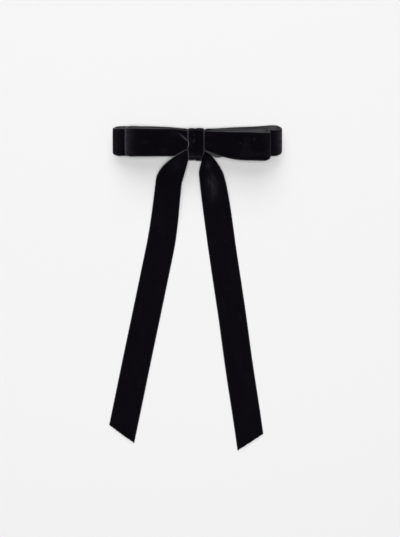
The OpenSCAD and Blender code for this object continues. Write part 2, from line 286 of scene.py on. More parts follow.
def velvet_material():
    """Cut pile: near-black with a violet cast, with painted highlights and sheen where the
    attribute says, paler mottles and stray lint.
    """
    material, tree, bsdf = new_material("velvet_pile")
    uv = ribbon_coordinates(tree)
    along = stretched(tree, uv, (0.5, 1.0, 1.0))
    patches = noise(tree, along, 110.0, 3.0)
    tufts = noise(tree, along, 1500.0, 2.0, 0.6)
    fibres = noise(tree, along, 4200.0, 2.0, 0.7)
    ground = blend_colours(tree, remap(tree, patches, 0.3, 0.7, 0.0, 1.0),
                           (0.0013, 0.0009, 0.0018), (0.0022, 0.0016, 0.003))
    tufted = blend_colours(tree, remap(tree, tufts, 0.35, 0.75, 0.0, 0.5), ground,
                           (0.0038, 0.0031, 0.0048))
    # Painted highlights and sheen: the attribute blends the pile towards a pale grey, broken up by
    # the tufts
    sheen_and_pale_share = calculate(tree, "MULTIPLY", pile_sheen_and_paleness_node(tree), remap(tree, tufts, 0.25, 0.75, 0.7, 1.3))
    colour = blend_colours(tree, sheen_and_pale_share, tufted, (0.078, 0.071, 0.084))
    lint = node(tree, "ShaderNodeTexVoronoi", Vector=uv, Scale=260.0).outputs["Distance"]
    rare = remap(tree, noise(tree, uv, 640.0, 0.0), 0.66, 0.69, 0.0, 1.0)
    specks = calculate(tree, "MULTIPLY", remap(tree, lint, 0.04, 0.07, 0.8, 0.0), rare)
    colour = blend_colours(tree, specks, colour, (0.06, 0.055, 0.065))
    normal = bumped(tree, fibres, 0.3, 0.0001, bumped(tree, tufts, 0.35, 0.00025))
    finish_shader(tree, bsdf, colour, remap(tree, tufts, 0.2, 0.8, 1.0, 0.84), normal,
                  Specular_IOR_Level=0.03, Sheen_Weight=0.14, Sheen_Roughness=0.26,
                  Sheen_Tint=(0.84, 0.8, 0.92))
    return material


def backing_material():
    """Smooth woven back of the ribbon, with fine warp floats along it."""
    material, tree, bsdf = new_material("ribbon_backing")
    uv = ribbon_coordinates(tree)
    warp = stripes(tree, uv, "Y", 900.0, 1.6)
    weft = stripes(tree, uv, "X", 620.0, 0.8)
    cloud = noise(tree, uv, 120.0)
    weave = calculate(tree, "MULTIPLY", warp, remap(tree, weft, 0.0, 1.0, 0.7, 1.0))
    tone = blend_colours(tree, weave, (0.0056, 0.0052, 0.0066), (0.0205, 0.0194, 0.0237))
    colour = blend_colours(tree, remap(tree, cloud, 0.3, 0.7, 0.0, 0.35), tone,
                           (0.027, 0.0258, 0.0305))
    finish_shader(tree, bsdf, colour, remap(tree, cloud, 0.3, 0.7, 0.42, 0.56),
                  bumped(tree, weave, 0.4, 0.00006), Specular_IOR_Level=0.27, Sheen_Weight=0.08)
    return material


def selvedge_material():
    """Bare woven edge of the ribbon, paler than the pile."""
    material, tree, bsdf = new_material("ribbon_selvedge")
    uv = ribbon_coordinates(tree)
    ribs = stripes(tree, uv, "X", 520.0, 1.2)
    wear = noise(tree, uv, 160.0)
    tone = blend_colours(tree, ribs, (0.008, 0.0074, 0.009), (0.03, 0.028, 0.033))
    colour = blend_colours(tree, remap(tree, wear, 0.35, 0.65, 0.0, 0.6), tone,
                           (0.012, 0.011, 0.014))
    # Painted highlights along the lit selvedges, from the attribute
    colour = blend_colours(tree, pile_sheen_and_paleness_node(tree), colour, (0.19, 0.18, 0.2))
    finish_shader(tree, bsdf, colour, remap(tree, wear, 0.3, 0.7, 0.5, 0.7),
                  bumped(tree, ribs, 0.5, 0.00008), Specular_IOR_Level=0.25, Sheen_Weight=0.15,
                  Sheen_Roughness=0.4)
    return material


def object_coordinates(tree):
    return node(tree, "ShaderNodeTexCoord").outputs["Object"]


def felt_material():
    """Pressed felt: a matte tangle of fine fibres with soft clumps."""
    material, tree, bsdf = new_material("felt")
    coords = object_coordinates(tree)
    fine = noise(tree, coords, 2600.0, 4.0, 0.7)
    clumps = noise(tree, coords, 420.0, 3.0, 0.6)
    tone = blend_colours(tree, remap(tree, fine, 0.3, 0.7, 0.0, 1.0),
                         (0.0085, 0.0085, 0.0095), (0.024, 0.024, 0.026))
    colour = blend_colours(tree, remap(tree, clumps, 0.4, 0.7, 0.0, 0.5), tone,
                           (0.034, 0.034, 0.037))
    normal = bumped(tree, fine, 0.6, 0.0002, bumped(tree, clumps, 0.6, 0.0004))
    finish_shader(tree, bsdf, colour, remap(tree, clumps, 0.2, 0.8, 1.0, 0.86), normal,
                  Specular_IOR_Level=0.1, Sheen_Weight=0.35, Sheen_Roughness=0.6)
    return material


def thread_material():
    """Spun sewing thread."""
    material, tree, bsdf = new_material("thread")
    fibre = noise(tree, object_coordinates(tree), 5200.0, 3.0, 0.6)
    tone = blend_colours(tree, fibre, (0.007, 0.007, 0.008), (0.034, 0.033, 0.037))
    finish_shader(tree, bsdf, tone, remap(tree, fibre, 0.3, 0.7, 0.6, 0.42),
                  bumped(tree, fibre, 0.4, 0.00006), Specular_IOR_Level=0.4, Sheen_Weight=0.3)
    return material


def metal_material(name, bright, dull, rough_low, rough_high):
    """Bare or plated steel, with fine rolling lines along X and small scuffs."""
    material, tree, bsdf = new_material(name)
    coords = object_coordinates(tree)
    lines = noise(tree, stretched(tree, coords, (0.03, 1.0, 1.0)), 3200.0, 3.0, 0.6)
    scuffs = noise(tree, coords, 260.0, 5.0, 0.65)
    tone = blend_colours(tree, remap(tree, scuffs, 0.35, 0.7, 0.0, 1.0), bright, dull)
    rough = calculate(tree, "ADD", remap(tree, lines, 0.3, 0.7, rough_low, rough_high),
                      remap(tree, scuffs, 0.55, 0.75, 0.0, 0.14))
    finish_shader(tree, bsdf, tone, rough, bumped(tree, lines, 0.12, 0.00004), Metallic=1.0)
    return material


VELVET = velvet_material()
BACKING = backing_material()
SELVEDGE = selvedge_material()
FELT = felt_material()
THREAD = thread_material()
NICKEL = metal_material("nickel_plate", (0.72, 0.71, 0.69), (0.55, 0.54, 0.53), 0.2, 0.3)
SPRING = metal_material("spring_steel", (0.46, 0.47, 0.5), (0.33, 0.33, 0.35), 0.28, 0.42)


# ---- Meshes ----


def mesh_object(name, points, faces, materials, face_kinds=None, uv=None, pile_sheen_and_paleness=None):
    """A smooth-shaded object from points in millimetres. uv and the pile's painted sheen and
    paleness are given per point.
    """
    mesh = bpy.data.meshes.new(name)
    mesh.from_pydata((np.asarray(points) * MM).tolist(), [], faces)
    for material in materials:
        mesh.materials.append(material)
    if face_kinds is not None:
        mesh.polygons.foreach_set("material_index", np.asarray(face_kinds, dtype=np.int32))
    mesh.polygons.foreach_set("use_smooth", np.ones(len(mesh.polygons), bool))
    if uv is not None:
        corner = np.zeros(len(mesh.loops), dtype=np.int32)
        mesh.loops.foreach_get("vertex_index", corner)
        layer = mesh.uv_layers.new(name="Ribbon")
        layer.data.foreach_set("uv", (uv[corner] * MM).astype(np.float32).ravel())
    if pile_sheen_and_paleness is not None:
        values = mesh.attributes.new("pile_sheen_and_paleness", "FLOAT", "POINT")
        values.data.foreach_set("value", pile_sheen_and_paleness.astype(np.float32))
    work = bmesh.new()
    work.from_mesh(mesh)
    bmesh.ops.recalc_face_normals(work, faces=work.faces)
    work.to_mesh(mesh)
    work.free()
    mesh.update()
    made = bpy.data.objects.new(name, mesh)
    bpy.context.scene.collection.objects.link(made)
    return made


# Materials of a ribbon, in the order of its slots
RIBBON_MATERIALS = (VELVET, BACKING, SELVEDGE)
ON_FACE, ON_BACK, ON_SELVEDGE = range(3)


def unit_rows(vectors):
    return vectors / np.linalg.norm(vectors, axis=1, keepdims=True)


def ribbon_object(name, grid, across, pile_sheen_and_paleness, selvedge_highlight, seed, closed=False, inside=None):
    """Velvet ribbon round a grid of middle-surface points: pile on its face, weave on its back
    and a bare selvedge along each side. Its face looks up, or away from the point inside.
    The pile's paleness and the selvedge highlights say where highlights and sheen are painted on
    the pile and on the selvedges, with the pile's paler mottles and specks."""
    rows, columns = grid.shape[:2]
    normal = surface_normals(grid, closed)
    i, k = rows // 2, columns // 2
    facing = np.array([0, 0, 1.0]) if inside is None else grid[i, k] - np.asarray(inside)
    normal = normal * math.copysign(1, float(np.dot(normal[i, k], facing)))
    steps = np.linalg.norm(np.diff(grid, axis=0), axis=2)
    u = np.vstack([np.zeros(columns), np.cumsum(steps, axis=0)])
    period = float(u[-1].mean() + steps.mean()) if closed else None
    v = np.broadcast_to(across, (rows, columns))
    from_edge = across[-1] - np.abs(v)

    def rough(scale, height, layer):
        return height * noise2(u, v, scale, seed + layer, period)

    shoulder = smoothstep((from_edge - SELVEDGE_W - rough(0.9, 0.12, 5)) / SHOULDER_W)
    pile = PILE_TOP + rough(1.3, 0.035, 0) + rough(0.75, 0.03, 1) + rough(6.0, 0.05, 2)
    bare = BASE_FACE + 0.05 * bell(from_edge, 0.2, 0.15)
    face = grid + normal * mix(bare, pile, shoulder)[..., None]
    back = grid + normal * (BACK_FACE + rough(3.0, 0.02, 3))[..., None]

    # The weft loops stand out a little along each selvedge
    rims, rim_v = [], []
    for column, inner in ((columns - 1, columns - 2), (0, 1)):
        outwards = unit_rows(grid[:, column] - grid[:, inner])
        along = u[:, column]
        drift = 1.3 * noise2(along, along * 0, 5.0, seed + 4, period)
        loops = WEFT_OUT + WEFT_SWING * np.sin(along * WEFT_RATE + drift)
        rims.append((face[:, column] + back[:, column]) / 2 + outwards * loops[:, None])
        rim_v.append(math.copysign(across[-1] + 0.15, across[column]))
    ring = np.concatenate([face, rims[0][:, None], back[:, ::-1], rims[1][:, None]], axis=1)
    around = ring.shape[1]
    v_ring = np.concatenate([across, rim_v[:1], across[::-1], rim_v[1:]])
    u_ring = np.concatenate([u, u[:, -1:], u[:, ::-1], u[:, :1]], axis=1)

    # Painted highlights and sheen on the pile and on the selvedges, with the pile's paler mottles
    # and specks
    pile_sheen_and_paleness = np.broadcast_to(pile_sheen_and_paleness, (rows, columns))
    selvedge_highlight = np.broadcast_to(selvedge_highlight, (rows, 2))
    bare_share = 1 - smoothstep((from_edge - SELVEDGE_W) / 0.2)
    side = np.where(v > 0, selvedge_highlight[:, 1:], selvedge_highlight[:, :1])
    face_sheen_and_paleness = mix(pile_sheen_and_paleness, side, bare_share)
    back_selvedge_highlight = side * bare_share
    sheen_and_paleness_ring = np.concatenate(
        [face_sheen_and_paleness, selvedge_highlight[:, 1:], back_selvedge_highlight[:, ::-1], selvedge_highlight[:, :1]], axis=1)

    i, k = np.meshgrid(np.arange(rows if closed else rows - 1), np.arange(around), indexing="ij")
    j, m = (i + 1) % rows, (k + 1) % around
    faces = np.stack([i, i, j, j], axis=-1) * around + np.stack([k, m, m, k], axis=-1)
    middle_v = np.abs(v_ring + np.roll(v_ring, -1)) / 2
    is_back = (np.arange(around) > columns) & (np.arange(around) < 2 * columns)
    at_selvedge = middle_v > across[-1] - SELVEDGE_W - SELVEDGE_MARGIN
    kinds = np.where(at_selvedge, ON_SELVEDGE, np.where(is_back, ON_BACK, ON_FACE))
    kinds = np.broadcast_to(kinds, faces.shape[:2]).ravel().tolist()
    faces = faces.reshape(-1, 4).tolist()
    if not closed:
        for base in (0, (rows - 1) * around):
            last = base + 2 * columns
            faces += [[base + c, base + c + 1, last - c - 1, last - c] for c in range(columns - 1)]
            kinds += [ON_BACK] * (columns - 1)
            faces += [[base + columns - 1, base + columns, base + columns + 1],
                      [base, last, last + 1]]
            kinds += [ON_SELVEDGE, ON_SELVEDGE]
    uv = np.stack([u_ring, np.broadcast_to(v_ring, u_ring.shape)], axis=-1).reshape(-1, 2)
    made = mesh_object(name, ring.reshape(-1, 3), faces, RIBBON_MATERIALS, kinds, uv,
                       sheen_and_paleness_ring.ravel())
    return made


# ---- Loops ----

# One loop, seen from the side and from above: its tip, the heights of its outline's handles beside
# the tip (handle) and towards the waist (rise), and its upper layer's two edges along Y
Loop = namedtuple("Loop", (
    "tip_x", "tip_z", "upper_handle", "lower_handle",
    "upper_rise", "lower_rise", "low_y", "high_y",
))
TIP_IN = RIBBON_T / 2
BACK_LEFT = Loop(back_low[0] + TIP_IN, 9, 15, -0.4, 14.2, 13.2, -8.5, 13.2)
BACK_RIGHT = Loop(back_high[0] - TIP_IN + 0.3, 9, 15, -0.4, 14.2, 13.2, -8.5, 12.1)
FRONT_LEFT = Loop(front_low[0] + TIP_IN, 18.8, 26, 14, 19.6, 15.5, -10.0, 12.3)
FRONT_RIGHT = Loop(front_high[0] - TIP_IN, 18.6, 26, 14, 19.8, 15.5, -13.0, 9.0)
SIDE_SAMPLES = 240

# A layer value runs from 0 on a loop's upper layer to 1 on its lower one, and this is the part of
# it that the turn at the tip takes
TURN_START, TURN_SHARE = 0.39, 0.22

# A folded tip's corners: their radii, how much of the rounding is drawn in, and how far before
# the tip that starts
UPPER_CORNER_R, LOWER_CORNER_R = 1.7, 2.6
CORNER_DRAW = 0.9
TIP_REACH = 8

# The free layer's crown, how far the flare fades, and where the lower layer peeks out
LOOP_CROWN = 0.45
FLARE_REACH = 11
PEEK_X, PEEK_RADIUS = 15.0, 6.8

# Creases that the knot presses into the loops: (x0, y0, x1, y1, height, half-width, painted
# highlight).
# A crease starts at a share of its half-width, and its painted highlight is narrower than it is.
CREASE_START_SHARE = 0.62
CREASE_HIGHLIGHT_SHARE = 0.62
CREASES = (
    (-7.2, 2.9, -15.6, 10.2, 0.9, 0.85, 0.5),
    (-7.4, 0.9, -16.0, 6.9, -0.6, 1.3, 0.0),
    (-7.0, -1.0, -13.5, -3.4, 0.3, 1.2, 0.0),
    (7.0, 0.5, 17.0, -2.5, 0.35, 1.3, 0.02),
    (7.0, 6.2, 16.5, 8.4, 0.35, 1.1, 0.03),
    (7.0, 3.4, 14.5, 4.2, -0.3, 1.2, 0.0),
)


def crease_field(x, y):
    """Height of the creases at (x, y) and the highlights painted along them, both fading away from
    the knot.
    """
    height, sheen_and_paleness = np.zeros_like(x), np.zeros_like(x)
    for x0, y0, x1, y1, rise, width, speck_and_sheen in CREASES:
        dx, dy = x1 - x0, y1 - y0
        length = math.hypot(dx, dy)
        t = ((x - x0) * dx + (y - y0) * dy) / length**2
        off = ((x - x0) * dy - (y - y0) * dx) / length
        fade = smoothstep((t + 0.15) / 0.3) * (1 - smoothstep((t - 0.2) / 0.8))
        spread = CREASE_START_SHARE + np.clip(t, 0, 1)
        height = height + rise * fade * np.exp(-((off / (width * spread)) ** 2))
        highlight_width = CREASE_HIGHLIGHT_SHARE * width * spread
        sheen_and_paleness = sheen_and_paleness + speck_and_sheen * fade * np.exp(-((off / highlight_width) ** 2)) / spread
    return height, sheen_and_paleness


def side_path(loop, upper_z, lower_z):
    """Centre line of one loop as rows of (x, z, layer), from the waist's upper layer round the
    tip to its lower one. The layer runs from 0 on the upper one to 1 on the lower one."""
    side = math.copysign(1, loop.tip_x)
    waist, handle, tip = side * WAIST_X, side * LOOP_HANDLE_X, (loop.tip_x, loop.tip_z)
    t = np.linspace(0, 1, SIDE_SAMPLES)
    upper = bezier([(waist, upper_z), (handle, loop.upper_rise),
                    (loop.tip_x, loop.upper_handle), tip], t)
    lower = bezier([tip, (loop.tip_x, loop.lower_handle),
                    (handle, loop.lower_rise), (waist, lower_z)], t)
    layer = np.concatenate([t / 2, 0.5 + t[1:] / 2])
    return np.column_stack([np.vstack([upper, lower[1:]]), layer])


def ring_path(left, right, upper_z, lower_z):
    """Rows of (x, z, layer) at even steps round a whole ring, and its length."""
    right_side = side_path(right, upper_z, lower_z)
    left_side = side_path(left, upper_z, lower_z)[::-1]
    closed = np.vstack([right_side, left_side, right_side[:1]])
    length = lengths_along(closed[:, :2])
    at = np.linspace(0, length[-1], int(length[-1] / RIBBON_STEP))[:-1]
    rows = np.column_stack([np.interp(at, length, column) for column in closed.T])
    rows[:, :2] = blur(rows[:, :2], 1.2, closed=True)
    return rows, at, length[-1]


def loops_object(name, node_name, left, right, upper_z, lower_z, waist, skew, style, seed):
    """A ribbon ring with a loop on each side of the waist. skew is how far a loop's lower layer
    stands out past its upper one along Y, on the left and on the right."""
    rows, at, total = ring_path(left, right, upper_z, lower_z)
    across = across_samples(HALF_W)
    x, z, layer = rows[:, :1], rows[:, 1:2], rows[:, 2:3]
    on_right = x > 0
    away = np.abs(x) - WAIST_X
    straight = np.clip(away / (abs(left.tip_x) - WAIST_X), 0, 1)
    turned = smoothstep((layer - TURN_START) / TURN_SHARE)
    shift = np.where(on_right, skew[1], skew[0]) * turned
    gather = np.where(on_right, style["gather"][1], style["gather"][0])
    low_share = mix(ease_out(away / gather), straight, 0.15)
    high_share = mix(ease_out(away / GATHER_LEN), np.clip(straight * 1.15, 0, 1),
                     np.where(on_right, 0.95, 0.4))
    low = mix(waist[0], np.where(on_right, right.low_y, left.low_y) + shift, low_share)
    high = mix(waist[1], np.where(on_right, right.high_y, left.high_y) + shift, high_share)
    low = low - style["peek"] * bell(x, PEEK_X, PEEK_RADIUS) * smoothstep((layer - 0.6) / 0.3)
    lifted = sum(amount * bell(x, centre, radius) for centre, radius, amount in style["lifts"])
    high = high + lifted * (1 - turned)
    flare = smoothstep((away + 0.9) / 2.2) * np.exp(-np.clip(away, 0, None) / FLARE_REACH)
    high = high + style["flare"] * flare
    share = (across[None, :] + HALF_W) / RIBBON_W
    u = np.broadcast_to(at[:, None], (len(at), len(across)))
    v = np.broadcast_to(across, u.shape)
    y = mix(low, high, share)
    y = y + 0.25 * noise2(u, v * 0, 26.0, seed, total) * smoothstep((away - 6) / 20)

    # The corners of a folded tip are drawn in
    reach = np.where(on_right, right.tip_x, -left.tip_x)
    corner_r = np.where(v > 0, UPPER_CORNER_R, LOWER_CORNER_R)
    inset = np.clip(np.abs(v) - (HALF_W - corner_r), 0, corner_r * 0.98)
    drawn = corner_r - np.sqrt(corner_r**2 - inset**2)
    near_tip = smoothstep((np.abs(x) - reach + TIP_REACH) / TIP_REACH)
    x_out = x - np.sign(x) * CORNER_DRAW * drawn * near_tip
    grid = np.stack([x_out, y, np.broadcast_to(z, y.shape)], axis=-1)

    normal = surface_normals(grid, closed=True)
    normal = normal * math.copysign(1, float(normal[0, len(across) // 2][2]))
    free = smoothstep((layer if style["free"] == "lower" else 1 - layer) * 2.4 - 0.9)
    out_of_waist = smoothstep((away - 2.5) / 18)
    crown = LOOP_CROWN * (1 - (v / HALF_W) ** 2)
    swell = 0.4 * noise2(u, v * 0.6, 19.0, seed + 5, total)
    grid = grid + normal * ((crown + swell) * out_of_waist * free)[..., None]
    height, sheen_and_paleness = crease_field(grid[..., 0], grid[..., 1])
    grid[..., 2] += height

    # Painted highlights along the folded tips and the upper edges, and on the creases, with paler
    # mottles and specks on the pile
    from_tip = reach - np.abs(x)
    upper = 1 - smoothstep((layer - 0.52) / 0.06)
    tip = sum(np.where(on_right, a * np.exp(-from_tip / b), c * np.exp(-from_tip / d))
              for a, b, c, d in style["tips"])
    tip = tip * (1 + 0.35 * noise2(u * 0.8, v, 2.6, seed + 10, total))
    # Painted highlight along the upper layer's high edge
    edge = np.where(on_right, style["edge"][1], style["edge"][0]) * np.exp(-(HALF_W - v) / 0.9)
    mottle = 0.028 * smoothstep(noise2(u, v * 1.3, 8.0, seed + 9, total) * 1.5 - 0.3)
    mottle = mottle * (1 + 0.7 * noise2(u, v, 1.1, seed + 11, total))
    for x0, y0, radius, speck_and_sheen in style["spots"]:
        sheen_and_paleness = sheen_and_paleness + speck_and_sheen * bell(np.hypot(grid[..., 0] - x0, grid[..., 1] - y0), 0, radius)
    pile_sheen_and_paleness = np.clip(tip * upper + edge * smoothstep(away / 25) + mottle + sheen_and_paleness * (layer < 0.5), 0, 1)
    # Painted highlights along the upper layer's selvedges, mostly on the high edge
    left_rim_highlight = style["rim_highlight"][0] * (0.1 + 0.9 * smoothstep(away / 30))
    lit = np.where(on_right, style["rim_highlight"][1], left_rim_highlight) * upper
    selvedge_highlight = np.concatenate([0.12 * lit, lit], axis=1)
    middle = (0, sum(waist) / 2, (upper_z + lower_z) / 2)
    made = ribbon_object(name, grid, across, closed=True, inside=middle, pile_sheen_and_paleness=pile_sheen_and_paleness,
                         selvedge_highlight=selvedge_highlight, seed=seed)
    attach(made, "bow")
    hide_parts(node_name)
    return made, total


# How the two rings differ. A pair is (left, right).
#   gather: how far from the waist the low edge takes to open out
#   peek: how far the lower layer shows past the low edge, right of the knot
#   lifts: rises of the upper layer's high edge, as (x, radius, amount)
#   flare: how far the high edge stands out beside the knot
#   free: the layer that swells freely
#   tips: painted highlights at the folded tips, as (right, its fade, left, its fade)
#   edge, rim_highlight: painted highlights along the high edge's pile, and along its selvedge
#   spots: specks on the pile, as (x, y, radius, paleness)
BACK_STYLE = {
    "gather": (34.0, 34.0), "peek": 0.0, "lifts": (), "flare": 1.0, "free": "lower",
    "tips": ((0.5, 1.0, 0.1, 2.6), (0.25, 2.4, 0.0, 1.0)), "edge": (0.08, 0.04),
    "rim_highlight": (0.16, 0.1), "spots": (),
}
FRONT_STYLE = {
    "gather": (14.0, 32.0), "peek": 3.35, "lifts": ((-17.0, 9.0, 0.8), (42.0, 12.0, 0.35)),
    "flare": 0.0, "free": "upper",
    "tips": ((0.12, 0.9, 0.62, 0.7), (0.03, 2.5, 0.33, 2.6)), "edge": (0.06, 0.04),
    "rim_highlight": (0.16, 0.08),
    "spots": ((55.6, 9.3, 0.6, 1.0), (33.6, 0.4, 0.4, 0.3), (44.5, 3.6, 0.5, 0.25)),
}
back_loops, back_length = loops_object(
    "back_loops_ribbon", "back_loops", BACK_LEFT, BACK_RIGHT, BACK_UPPER_Z, BACK_LOWER_Z,
    (-3.5, 11.6), (2.4, 4.2), BACK_STYLE, 21)
front_loops, front_length = loops_object(
    "front_loops_ribbon", "front_loops", FRONT_LEFT, FRONT_RIGHT, FRONT_UPPER_Z, FRONT_LOWER_Z,
    (-4.5, 10.7), (2.0, 3.6), FRONT_STYLE, 41)


# ---- Tails ----

# Each edge of a neck and of a tail is a curve of four points, from the knot outwards
LEFT_NECK = (
    [(-5, -2, LEFT_NECK_Z), (-16, -8.2, 21.5), (-27.9, -14.9, 19.5), (-31.5, -25, 10.5)],
    [(-5, -8, LEFT_NECK_Z), (-6.2, -10.3, 19), (-8.2, -19.5, 14.5), (-11.6, -29, 8.5)],
)
LEFT_TAIL = (
    [LEFT_NECK[0][3], (-33, -34, 3.5), (-36.3, -61.4, SURFACE_Z), (-40, -79, SURFACE_Z)],
    [LEFT_NECK[1][3], (-12.9, -36.5, 3.5), (-14.7, -66, SURFACE_Z), (-18.3, -83.5, SURFACE_Z)],
)
RIGHT_NECK = (
    [(5, -2.6, RIGHT_NECK_Z), (11.5, -6, 12.3), (16.2, -13.5, 12), (20.6, -21, 8)],
    [(4.0, -7.8, RIGHT_NECK_Z), (5.7, -12, 12.2), (0.7, -17.3, 10.5), (2, -24, 7.2)],
)
RIGHT_TAIL = (
    [RIGHT_NECK[0][3], (24.8, -32, 2.5), (28.1, -59.2, SURFACE_Z), (31, -79, SURFACE_Z)],
    [RIGHT_NECK[1][3], (2.7, -33.5, 1.5), (6.5, -62.4, SURFACE_Z), (9.3, -82.2, SURFACE_Z)],
)
TAIL_SLANT = 10.0
TAIL_LIFT = 0.05
PLEAT_HEIGHT, PLEATS = 0.8, 2.5
FRAY_LEN = 1.3


def tail_grid(inside_x, neck, tail, heading, run):
    """Middle surface of a whole tail, from inside the knot to its slanted cut, and the distance
    of each row along it."""
    t = np.linspace(0, 1, 160)
    edges = []
    for neck_edge, tail_edge, slant in zip(neck, tail, (-TAIL_SLANT / 2, TAIL_SLANT / 2)):
        start = np.array(neck_edge[0], float)
        bottom = np.array(tail_edge[3], float)
        hidden = np.array((inside_x, start[1], start[2]))
        lead = mix(hidden, start, np.linspace(0, 1, 12)[:-1, None])
        end = bottom + np.array(heading) * (run + slant)
        straight = mix(bottom, end, np.linspace(0, 1, 200)[1:, None])
        edges.append(np.vstack([lead, bezier(neck_edge, t), bezier(tail_edge, t)[1:], straight]))
    length = lengths_along((edges[0] + edges[1]) / 2)
    at = np.linspace(0, length[-1], int(round(length[-1] / RIBBON_STEP)) + 1)
    outer, inner = (
        blur(np.column_stack([np.interp(at, length, column) for column in edge.T]), 3.0)
        for edge in edges
    )
    across = across_samples(HALF_W)
    share = ((across + HALF_W) / RIBBON_W)[None, :, None]
    return mix(outer[:, None], inner[:, None], share), across, at


def tail_object(name, inside_x, neck, tail, heading, run, patches, rims, seed):
    """One tail, which bends between the bow and its own body. patches are crushed pile, its sheen
    painted paler, as (x, y, radius along, radius across, paleness), and rims are painted
    highlights on its outer edge, as (x, y, radius, paleness)."""
    grid, across, at = tail_grid(inside_x, neck, tail, heading, run)
    u = np.broadcast_to(at[:, None], grid.shape[:2])
    v = np.broadcast_to(across, u.shape)
    width = np.linalg.norm(grid[:, -1] - grid[:, 0], axis=1)[:, None]
    normal = surface_normals(grid)
    normal = normal * math.copysign(1, normal[len(at) // 2, len(across) // 2][2])

    # Pleats where the width is gathered into the knot, a slight crown, and slow waves lower down
    gathered = np.clip(1 - width / RIBBON_W, 0, 1)
    folds = np.cos(v / HALF_W * math.pi * PLEATS + 0.6)
    pleats = PLEAT_HEIGHT * gathered * smoothstep((u - 4) / 6) * folds
    lying = smoothstep((u - 90) / 40)
    crown = 0.35 * (1 - (v / HALF_W) ** 2) * smoothstep((u - 25) / 30)
    wave = 0.35 * (1 + noise2(u, v * 0.4, 34.0, seed)) * lying
    soft = 0.4 * noise2(u, v * 0.5, 22.0, seed + 3) * smoothstep((u - 20) / 15) * (1 - lying)
    grid = grid + normal * (pleats + crown + wave + soft)[..., None]
    grid[..., 2] += TAIL_LIFT
    grid[..., 0] += 0.22 * noise2(u, v * 0, 45.0, seed + 6) * smoothstep((u - 40) / 30)

    # The cut end is a little ragged
    frayed = smoothstep((u - at[-1] + FRAY_LEN) / FRAY_LEN)
    ragged = 0.16 * noise2(v, u * 0, 0.8, seed + 12) + 0.1 * noise2(v, u * 0, 0.35, seed + 13)
    grid = grid + np.array(heading) * (frayed * ragged)[..., None]

    x, y = grid[..., 0], grid[..., 1]
    pile_sheen_and_paleness = 0.01 + 0.008 * smoothstep(noise2(u, v * 1.5, 9.0, seed + 9) * 1.5 - 0.2)
    # Crushed pile, with its sheen painted paler and broken up by grain
    for x0, y0, along, sideways, sheen_and_paleness in patches:
        spot = np.exp(-(((y - y0) / along) ** 2) - ((x - x0) / sideways) ** 2)
        grain = 0.45 * noise2(u * 0.4, v, 1.3, seed + 15) + 0.35 * noise2(u, v, 0.7, seed + 16)
        pile_sheen_and_paleness = pile_sheen_and_paleness + sheen_and_paleness * spot * (0.65 + grain)
    # Painted highlights along the outer edge near the knot
    rim_highlight = np.zeros((len(at), 2))
    for x0, y0, radius, sheen_and_paleness in rims:
        rim_highlight[:, 0] += sheen_and_paleness * np.exp(-((x[:, 0] - x0) ** 2 + (y[:, 0] - y0) ** 2) / radius**2)
    pile_sheen_and_paleness = pile_sheen_and_paleness + rim_highlight[:, :1] * np.exp(-(((v + HALF_W) * width / RIBBON_W / 0.5) ** 2))
    made = ribbon_object(name, grid, across, pile_sheen_and_paleness=np.clip(pile_sheen_and_paleness, 0, 1), selvedge_highlight=rim_highlight, seed=seed)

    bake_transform(made)
    side = name.split("_")[0]
    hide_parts(side + "_tail_neck", side + "_tail")


tail_object(
    "left_tail_ribbon", 3, LEFT_NECK, LEFT_TAIL, (-0.203, -0.979, 0), 148.5,
    ((-15, -15, 5, 3, 0.05),), ((-10, -5.5, 6, 0.5), (-20, -12, 8, 0.35)), 61)
tail_object(
    "right_tail_ribbon", -3, RIGHT_NECK, RIGHT_TAIL, (0.144, -0.9896, 0), 154.0,
    ((11.2, -27.6, 4.5, 3.4, 0.16), (13.2, -35.0, 7, 3.6, 0.12), (8.9, -15.5, 3, 2.2, 0.1)),
    ((10, -8, 5, 0.03),), 81)


# ---- Knot ----

KNOT_HALF = (knot_high[0] - knot_low[0]) / 2
KNOT_ROWS = 190
KNOT_STEP = 0.35
WRAP_T = 0.9
WRAP_CORNER_R = 1.4

# Edges of the visible knot, and the crease between its two pleats
KNOT_LEFT, KNOT_RIGHT = -6.95, 5.95
SPLIT_X = -1.05

# Inner outline of each pleat's turn in YZ, as its lowest and highest corner
PLEAT_DROP = 0.35
LEFT_TURN = ((-10.8, 9.4), (11.6, knot_high[2] - PLEAT_DROP - WRAP_T))
RIGHT_TURN = ((-11.2, 9.1), (11.55, knot_high[2] - WRAP_T))

# Soft ridge of each pleat: (height, half-width)
LEFT_RIDGE, RIGHT_RIDGE = (0.25, 2.8), (0.3, 3.9)

# Puckers in the knot's face: (x, y, height, width along X, width along Y)
PUCKERS = (
    (-3.3, 3.6, -0.5, 0.5, 1.6), (-2.4, 2.2, 0.3, 0.5, 1.2), (-3.0, -0.4, -0.38, 0.6, 0.9),
    (-4.4, 1.0, 0.25, 0.7, 2.0), (-4.0, 6.8, -0.22, 0.5, 1.2), (-2.2, 5.0, 0.2, 0.5, 1.6),
    (2.6, -4.8, -0.16, 1.0, 1.6), (4.2, 3.5, 0.1, 1.2, 3.0),
)


